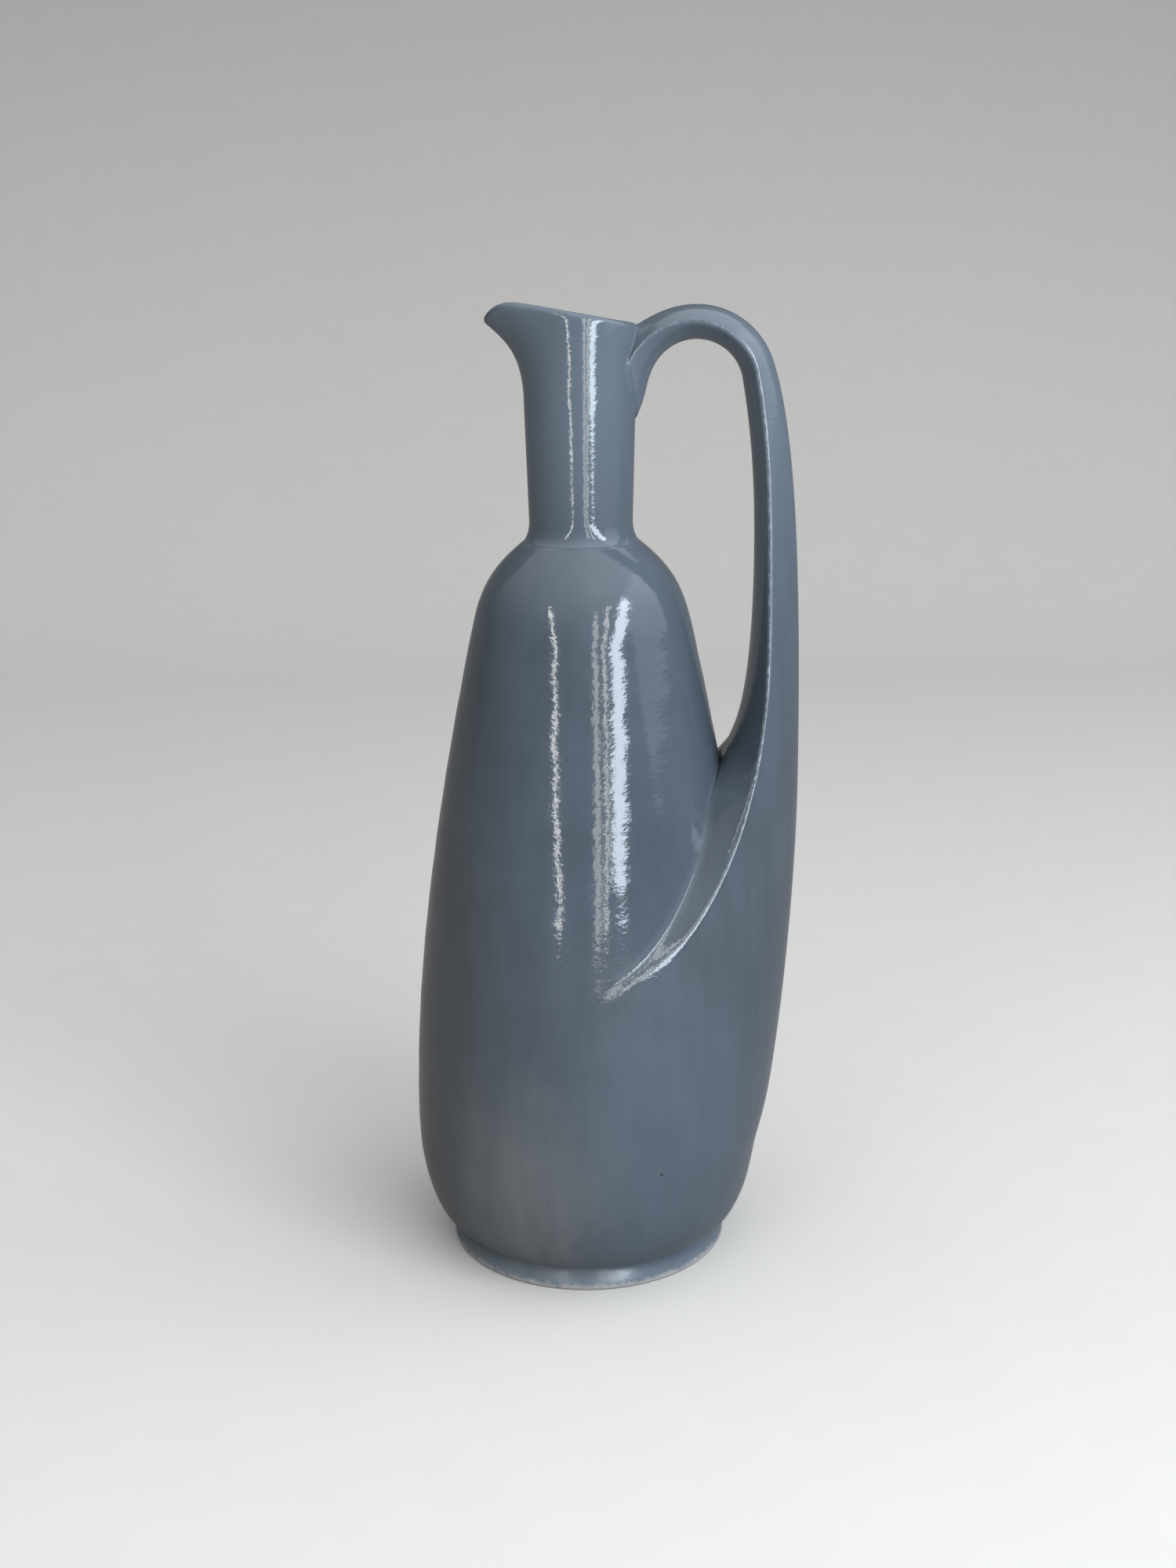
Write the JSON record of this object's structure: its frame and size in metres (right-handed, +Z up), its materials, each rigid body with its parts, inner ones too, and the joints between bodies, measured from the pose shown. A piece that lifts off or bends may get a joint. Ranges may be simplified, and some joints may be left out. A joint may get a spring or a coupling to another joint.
{
  "type": "ewer",
  "caption": "Tall glazed pottery ewer: slim belly on a foot ring, narrow neck with a pulled pouring lip, and a long arched strap handle that lands on the belly in a broad hood.",
  "frame": {"origin": "centre of the foot ring's standing face, on the surface that the ewer stands on", "axes": "+Z up along the axis of the body, +X towards the handle, -X towards the pouring lip"},
  "size_m": [0.1302, 0.1176, 0.3177],
  "materials": {
    "glaze": "glossy blue-grey glaze",
    "foot_glaze": "glossy blue-grey glaze, worn pale on the standing edge"
  },
  "bodies": {
    "root": {"foot_ring": "foot_glaze", "body": "glaze", "neck": "glaze", "handle_strap": "glaze", "handle_root": "glaze"}
  },
  "joints": []
}
